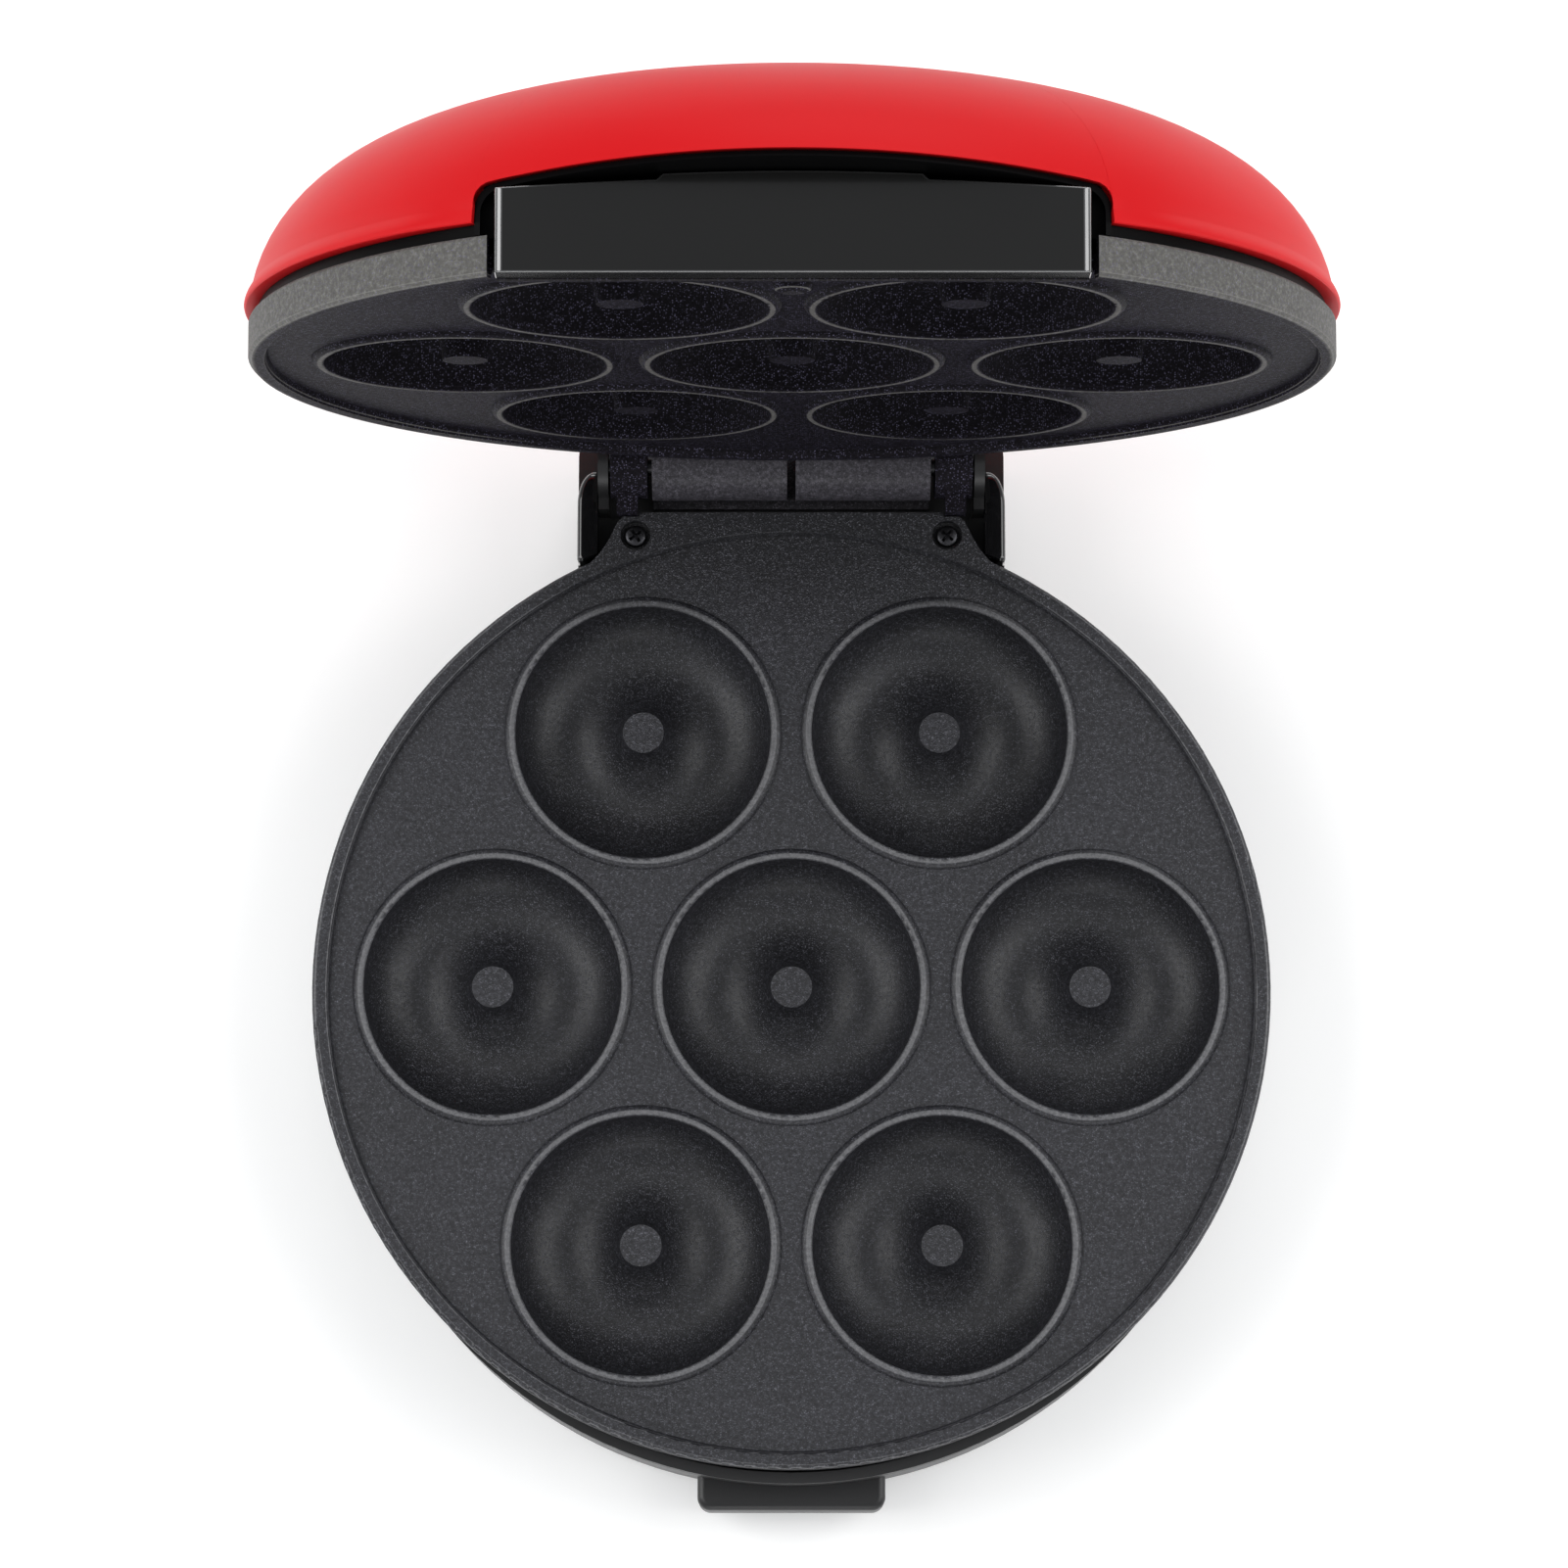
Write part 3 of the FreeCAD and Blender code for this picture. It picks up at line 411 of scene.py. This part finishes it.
def archTop(x):
    # height of the arch over the handle, with its two rounded shoulders
    corner, power, endZ = cover["archCorner"], cover["cornerPower"], cover["archEndZ"]
    straight = cover["archHalf"] - corner
    if abs(x) <= straight:
        return endZ + (cover["archMidZ"] - endZ) * (1 - (x / straight) ** 2)
    share = (abs(x) - straight) / corner
    return cover["beltZ"] + (endZ - cover["beltZ"]) * (1 - share ** power) ** (1 / power)


def meridian(zEnd, inset, count):
    # points (r, z) from the top of the dome down to zEnd, evenly spaced along the curve
    rEnd, samples = domeRadius(zEnd, inset), 400
    fine = [rEnd * sin(pi / 2 * i / samples) for i in range(samples + 1)]
    line = [(r, domeZ(r, inset)) for r in fine]
    line[-1] = (rEnd, zEnd)
    steps = np.hypot(*np.diff(np.array(line), axis=0).T)
    run = np.concatenate([[0], np.cumsum(steps)])
    wanted = np.linspace(0, run[-1], count + 1)
    return list(zip(np.interp(wanted, run, [p[0] for p in line]), np.interp(wanted, run, [p[1] for p in line])))


def drawCover():
    # the shell is a fan of columns from the dome's top: some end at the arch, the others at the lip
    half, belt, wall = cover["archHalf"], cover["beltZ"], cover["wall"]
    shoulder = [half - back for back in (0.15, 0.6, 1.4, 2.6, cover["archCorner"])]
    inArch = [-x for x in shoulder] + list(np.linspace(-half + 7, half - 7, cover["archCount"])) + shoulder[::-1]
    corner = asin(half / domeRadius(belt, 0))
    outside = list(np.linspace(corner, 2 * pi - corner, cover["aroundCount"] + 1))
    columns = [("arch", x) for x in inArch] + [("wall", t) for t in outside]
    verts, faces, rows = [], [], []
    for kind, value in columns:
        column = []
        for inset, count in ((0, cover["outCount"]), (wall, cover["inCount"])):
            if kind == "arch":
                z = archTop(value)
                r = domeRadius(z, inset)
                turn = asin(value / r)
                points = [(r0 * sin(turn), -r0 * cos(turn), z0) for r0, z0 in meridian(z, inset, count)][1:]
            else:
                end = belt if inset == 0 else cover["lipZ"]
                points = [(r0 * sin(value), -r0 * cos(value), z0) for r0, z0 in meridian(end, inset, count)][1:]
            column.append(points)
        rows.append((kind, value, column))
    # vertices: one run per column, outside down, then the lip, then inside up
    index = []
    for kind, value, (out, inn) in rows:
        lipPoints = []
        if kind == "wall":               # the lip grows out of the wall over the first degrees beside the arch
            share = min(1.0, (min(value, 2 * pi - value) - corner) / radians(cover["lipFade"]))
            share = share * share * (3 - 2 * share)
            for r, z in lipProfile:
                plain = domeRadius(z, 0.15) if z > cover["lipZ"] + 0.1 else r - 0.9
                r = plain * (1 - share) + r * share
                lipPoints.append((r * sin(value), -r * cos(value), z))
        start = len(verts)
        verts += out + lipPoints + inn[::-1]
        index.append((start, len(out), len(lipPoints), len(inn)))
    apexOut, apexIn = len(verts), len(verts) + 1
    verts += [(0, 0, cover["top"]), (0, 0, cover["top"] - wall)]
    total = len(rows)
    for i in range(total):
        a, b = index[i], index[(i + 1) % total]
        outA, outB = [a[0] + k for k in range(a[1])], [b[0] + k for k in range(b[1])]
        innA = [a[0] + a[1] + a[2] + k for k in range(a[3])]
        innB = [b[0] + b[1] + b[2] + k for k in range(b[3])]
        for runA, runB in ((outA, outB), (innA, innB)):
            for k in range(len(runA) - 1):
                faces.append((runA[k], runA[k + 1], runB[k + 1], runB[k]))
        faces.append((apexOut, outA[0], outB[0]))
        faces.append((apexIn, innB[-1], innA[-1]))
        lipA = [outA[-1]] + [a[0] + a[1] + k for k in range(a[2])] + [innA[0]]
        lipB = [outB[-1]] + [b[0] + b[1] + k for k in range(b[2])] + [innB[0]]
        if a[2] and b[2]:
            for k in range(len(lipA) - 1):
                faces.append((lipA[k], lipA[k + 1], lipB[k + 1], lipB[k]))
        elif not a[2] and not b[2]:
            faces.append((outA[-1], innA[0], innB[0], outB[-1]))
        elif a[2]:
            faces.append(tuple(lipA) + (innB[0], outB[-1]))
        else:
            faces.append(tuple(lipB[::-1]) + (outA[-1], innA[0]))
    return verts, faces


coverVerts, coverFaces = drawCover()
coverPiece = addPiece("red_cover", coverVerts, coverFaces, "lid", ["lid_cover"], redCover)
print("cover drawn:", len(coverFaces), "faces")


# the handle: a flat-faced grip with a raised middle and soft edges
# (mm, lid closed; raisedDrop is how much the raised middle falls towards its ends)
handle = {"half": 57.2, "low": 45.8, "endZ": 62.3, "midZ": 64.3, "raisedHalf": 25.5, "raisedZ": 65.6,
          "raisedDrop": 0.6, "front": -99.0, "back": -92.7, "endEdge": 1.6, "longEdge": 0.35}


def extruded(outline, front, back):
    # prism from an (x, z) outline, between two distances along y
    count = len(outline)
    verts = [(x, front, z) for x, z in outline] + [(x, back, z) for x, z in outline]
    faces = [tuple(range(count)), tuple(range(2 * count - 1, count - 1, -1))]
    faces += [(k, (k + 1) % count, count + (k + 1) % count, count + k) for k in range(count)]
    return verts, faces


def handleTop(x):
    return handle["endZ"] + (handle["midZ"] - handle["endZ"]) * (1 - (x / handle["half"]) ** 2)


def handleOutline():
    half, raised = handle["half"], handle["raisedHalf"]
    right = [(x, handleTop(x)) for x in np.linspace(half, raised + 0.6, 14)]
    top = [(raised, handleTop(raised) + 0.5)]
    top += [(x, handle["raisedZ"] - handle["raisedDrop"] * (x / raised) ** 2)
            for x in np.linspace(raised - 0.5, 0.8, 12)]
    left = [(-x, z) for x, z in (right + top)[::-1]]
    return [(-half, handle["low"]), (half, handle["low"])] + right + top + left


handleVerts, handleFaces = extruded(handleOutline(), handle["front"], handle["back"])
handlePiece = addPiece("handle_grip", handleVerts, handleFaces, "lid", ["lid_handle"], charcoalHandle)
handlePiece.data.materials.append(edgeHighlight)
# the upright end edges are rounder than the long ones, and the bevel takes the second material, the painted edge
# highlight
shortEdge = 0.008            # the ends' upright edges are longer than this, m
weigh = bmesh.new()
weigh.from_mesh(handlePiece.data)
weights = weigh.edges.layers.float.new("bevel_weight_edge")
for edge in weigh.edges:
    first, second = (v.co for v in edge.verts)
    if len(edge.link_faces) == 2 and edge.calc_face_angle() > radians(30):
        upright = abs(first.x - second.x) < 1e-6 and (first - second).length > shortEdge
        edge[weights] = 1.0 if upright else handle["longEdge"] / handle["endEdge"]
weigh.to_mesh(handlePiece.data)
weigh.free()
bevelled(handlePiece, handle["endEdge"], 6)
handlePiece.modifiers["edges"].limit_method = "WEIGHT"
handlePiece.modifiers["edges"].material = 1
print("handle drawn")


# the low glossy cap beside each hinge ear, lofted from front to back and drawn in towards its rear
# (mm; inner is the side against the ear, and the front end follows a circle of plateClear round the plates' axis)
cap = {"inner": 45.0, "width": 4.9, "low": 36.6, "top": 44.3, "straightEnd": 113.6, "rear": 121.75, "edge": 1.3,
       "rearRound": 2.5, "frontEase": 0.6, "tipWidth": 0.9, "plateClear": 111.2}


def drawCap(side):
    # cross-sections from front to back, closer together where the ends round off
    stations = [99.6, 99.9, 100.4, 101.2, 103, 105, 107, 109, 111, 113, 114.5, 116, 117.3, 118.4, 119.3, 120, 120.6,
                121.1, 121.45, 121.68]
    rings = []
    for y in stations:
        reach = max(0.0, y - cap["straightEnd"]) / (cap["rear"] + 0.15 - cap["straightEnd"])
        width = max(cap["width"] * (1 - reach ** 2) ** 0.5, cap["tipWidth"])
        fromRear, fromFront = cap["rear"] - y, y - stations[0]
        top, bend = cap["top"], cap["rearRound"]
        if fromRear < bend:
            top -= bend - (bend ** 2 - (bend - fromRear) ** 2) ** 0.5
        if fromFront < 1.0:
            width -= cap["frontEase"] * (1 - fromFront) ** 2
            top -= cap["frontEase"] * (1 - fromFront) ** 2
        x0, x1, low = cap["inner"], cap["inner"] + width, cap["low"]
        edge = min(cap["edge"], width * 0.45)
        ring = [(x0, low), (x0, top - 0.7), (x0 + 0.08, top - 0.35), (x0 + 0.25, top - 0.1), (x0 + 0.5, top)]
        ring += [(x1 - edge + edge * sin(t), top - edge + edge * cos(t)) for t in np.linspace(0, pi / 2, 7)]
        ring += [(x1, low + 0.5), (x1 - 0.4, low)]
        rings.append([(side * x, max(y, (cap["plateClear"] ** 2 - x * x) ** 0.5), z) for x, z in ring])
    count = len(rings[0])
    verts = [p for ring in rings for p in ring]
    faces = [(a * count + k, a * count + (k + 1) % count, (a + 1) * count + (k + 1) % count, (a + 1) * count + k)
             for a in range(len(rings) - 1) for k in range(count)]
    faces += [tuple(range(count)), tuple(range(len(verts) - 1, len(verts) - count - 1, -1))]
    return verts, faces


for side, nodeName in ((1, "hinge_cap_right"), (-1, "hinge_cap_left")):
    capVerts, capFaces = drawCap(side)
    addPiece(nodeName.replace("hinge_", "gloss_"), capVerts, capFaces, "base", [nodeName], glossBlack)
print("hinge caps drawn")


def latheFaces(profileLine, x, y, around=40):
    # faces of a profile of (r, z) turned round a vertical axis; both ends are on the axis
    verts, faces = [], []
    for r, z in profileLine[1:-1]:
        verts += [(x + r * cos(2 * pi * k / around), y + r * sin(2 * pi * k / around), z) for k in range(around)]
    rows = len(profileLine) - 2
    for a in range(rows - 1):
        faces += [(a * around + k, a * around + (k + 1) % around, (a + 1) * around + (k + 1) % around,
                   (a + 1) * around + k) for k in range(around)]
    for (r, z), row in ((profileLine[0], 0), (profileLine[-1], rows - 1)):
        verts.append((x, y, z))
        faces += [(len(verts) - 1, row * around + k, row * around + (k + 1) % around) for k in range(around)]
    return verts, faces


def carve(piece, cutterVerts, cutterFaces):
    # cuts a closed shape out of a piece and keeps the result as its mesh
    mesh = bpy.data.meshes.new("cutter")
    mesh.from_pydata([tuple(v) for v in cutterVerts], [], cutterFaces)
    mesh.transform(swing @ toFrame if piece["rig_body"] == "lid" else toFrame)
    faceOutwards(mesh)
    cutter = bpy.data.objects.new("cutter", mesh)
    scene.collection.objects.link(cutter)
    boolean = piece.modifiers.new("carve", "BOOLEAN")
    boolean.operation, boolean.object, boolean.solver = "DIFFERENCE", cutter, "EXACT"
    bpy.context.view_layer.update()
    result = bpy.data.meshes.new_from_object(piece.evaluated_get(bpy.context.evaluated_depsgraph_get()))
    piece.modifiers.clear()
    piece.data = result
    bpy.data.objects.remove(cutter)
    result.set_sharp_from_angle(angle=sharpAngle)


# holes in the cover for the two lamps, from below its skin to above it
lampHole = {"x": 9.0, "y": -40.0, "radius": 4.15, "from": 80, "to": 105}
holeLow, holeHigh, holeR = lampHole["from"], lampHole["to"], lampHole["radius"]
for x in (-lampHole["x"], lampHole["x"]):
    carve(coverPiece, *latheFaces([(0, holeLow), (holeR, holeLow), (holeR, holeHigh), (0, holeHigh)], x, lampHole["y"]))
bevelled(coverPiece, cover["edge"])
print("lamp holes cut")


def crossCutter(x, y, top, radius, depth, turn):
    # the tapered cross of a driver's tip, pointing down
    half = radius * 0.2
    outline = [(half, half), (radius, half), (radius, -half), (half, -half), (half, -radius), (-half, -radius),
               (-half, -half), (-radius, -half), (-radius, half), (-half, half), (-half, radius), (half, radius)]
    verts = []
    for z, scale in ((top + 0.4, 1.12), (top, 1.0), (top - depth, 0.5)):
        verts += [(x + scale * (u * cos(turn) - v * sin(turn)), y + scale * (u * sin(turn) + v * cos(turn)), z)
                  for u, v in outline]
    count = len(outline)
    faces = [tuple(range(count)), tuple(range(3 * count - 1, 2 * count - 1, -1))]
    faces += [(a * count + k, a * count + (k + 1) % count, (a + 1) * count + (k + 1) % count, (a + 1) * count + k)
              for a in (0, 1) for k in range(count)]
    return verts, faces


# the two screws on the ledge: domed heads with a tapered cross, each cross turned by its own angle
ledgeScrew = {"x": 36.3, "y": 105.8, "seatZ": 42.92, "headR": 2.6, "headH": 1.7, "shankR": 1.25, "length": 14.0,
              "threads": 24, "crossR": 1.75, "crossDepth": 1.25, "turns": (0.6, 0.9)}


def drawLedgeScrews():
    seat, headR, headH, shankR, length, threads = (ledgeScrew[k] for k in (
        "seatZ", "headR", "headH", "shankR", "length", "threads"))
    line = [(0, seat - length), (0.5, seat - length)]
    for k in range(threads):
        low = seat - length + 0.6 + k * (length - 2.0) / threads
        line += [(shankR * 0.8, low), (shankR, low + 0.25)]
    line += [(shankR * 0.8, seat - 0.9), (shankR * 0.8, seat), (headR - 0.12, seat), (headR, seat + 0.15),
             (headR, seat + headH * 0.45), (headR * 0.96, seat + headH * 0.68), (headR * 0.86, seat + headH * 0.85),
             (headR * 0.7, seat + headH * 0.95), (headR * 0.4, seat + headH), (0, seat + headH)]
    verts, faces = [], []
    for x in (-ledgeScrew["x"], ledgeScrew["x"]):
        screwVerts, screwFaces = latheFaces(line, x, ledgeScrew["y"])
        faces += [tuple(i + len(verts) for i in f) for f in screwFaces]
        verts += screwVerts
    return verts, faces


screwVerts, screwFaces = drawLedgeScrews()
screws = addPiece("ledge_cross_screws", screwVerts, screwFaces, "base", ["ledge_screws"], blackSteel)
headTop = ledgeScrew["seatZ"] + ledgeScrew["headH"]
for x, turn in zip((-ledgeScrew["x"], ledgeScrew["x"]), ledgeScrew["turns"]):
    carve(screws, *crossCutter(x, ledgeScrew["y"], headTop, ledgeScrew["crossR"], ledgeScrew["crossDepth"], turn))
print("ledge screws drawn")


# the camera stands in front of the object and looks down on it, as if over a worktop
view = {"lens": 119.36, "aim": (-0.0017, 0.02227, 0.045), "place": (-0.0017, -0.1884, 1.2264)}
camera = bpy.data.objects.new("camera", bpy.data.cameras.new("camera"))
scene.collection.objects.link(camera)
camera.data.lens, camera.data.sensor_width, camera.data.clip_end = view["lens"], 36.0, 20.0
camera.location = view["place"]
camera.rotation_euler = (Vector(view["aim"]) - Vector(view["place"])).to_track_quat("-Z", "Y").to_euler()
scene.camera = camera

# soft light from both sides, kept off the handle's flat face, with low strips that draw the edges
softboxes = {
    "left softbox": {"place": (-1.25, 0.1, 1.35), "aim": (0, 0, 0.05), "size": (1.1, 1.4), "watts": 17},
    "right softbox": {"place": (1.25, 0.1, 1.35), "aim": (0, 0, 0.05), "size": (1.1, 1.4), "watts": 15},
    "front softbox": {"place": (0.0, -1.9, 0.9), "aim": (0, 0.05, 0.12), "size": (1.6, 0.5), "watts": 9},
    "left edge strip": {"place": (-1.3, 0.0, 0.16), "aim": (0, 0.05, 0.12), "size": (0.14, 1.5), "watts": 3},
    "right edge strip": {"place": (1.3, 0.0, 0.16), "aim": (0, 0.05, 0.12), "size": (0.14, 1.5), "watts": 3},
    "rear strip": {"place": (0.3, 1.7, 0.8), "aim": (0, 0.1, 0.12), "size": (1.4, 0.4), "watts": 8},
}
for name, box in softboxes.items():
    light = bpy.data.lights.new(name, "AREA")
    light.shape, light.size, light.size_y, light.energy = "RECTANGLE", *box["size"], box["watts"]
    lamp = bpy.data.objects.new(name, light)
    lamp.location = box["place"]
    lamp.rotation_euler = (Vector(box["aim"]) - Vector(box["place"])).to_track_quat("-Z", "Y").to_euler()
    scene.collection.objects.link(lamp)

# the studio: a pale room round a glowing white table that lifts most of the shadow
studio = {"sky": "#f4f6fa", "skyStrength": 0.5, "floorHalf": 3.0, "floorGlow": 0.15}
world = bpy.data.worlds.new("studio")
world.use_nodes = True
background = world.node_tree.nodes["Background"].inputs
background["Color"].default_value, background["Strength"].default_value = linear(studio["sky"]), studio["skyStrength"]
scene.world = world
scene.view_settings.view_transform = "Standard"

half = studio["floorHalf"]
floorMesh = bpy.data.meshes.new("floor")
floorMesh.from_pydata([(-half, -half, 0), (half, -half, 0), (half, half, 0), (-half, half, 0)], [], [(0, 1, 2, 3)])
floor = bpy.data.objects.new("floor", floorMesh)
scene.collection.objects.link(floor)
tableTop = mouldedPlastic("opal acrylic sheet, lit from below", "#f3f3f2", "#f7f7f6", 0.85, 1.5, 0.00002)
glow = tableTop.node_tree.nodes["Principled BSDF"].inputs
glow["Emission Color"].default_value, glow["Emission Strength"].default_value = linear("#ffffff"), studio["floorGlow"]
floorMesh.materials.append(tableTop)
print("camera, lights and floor set")
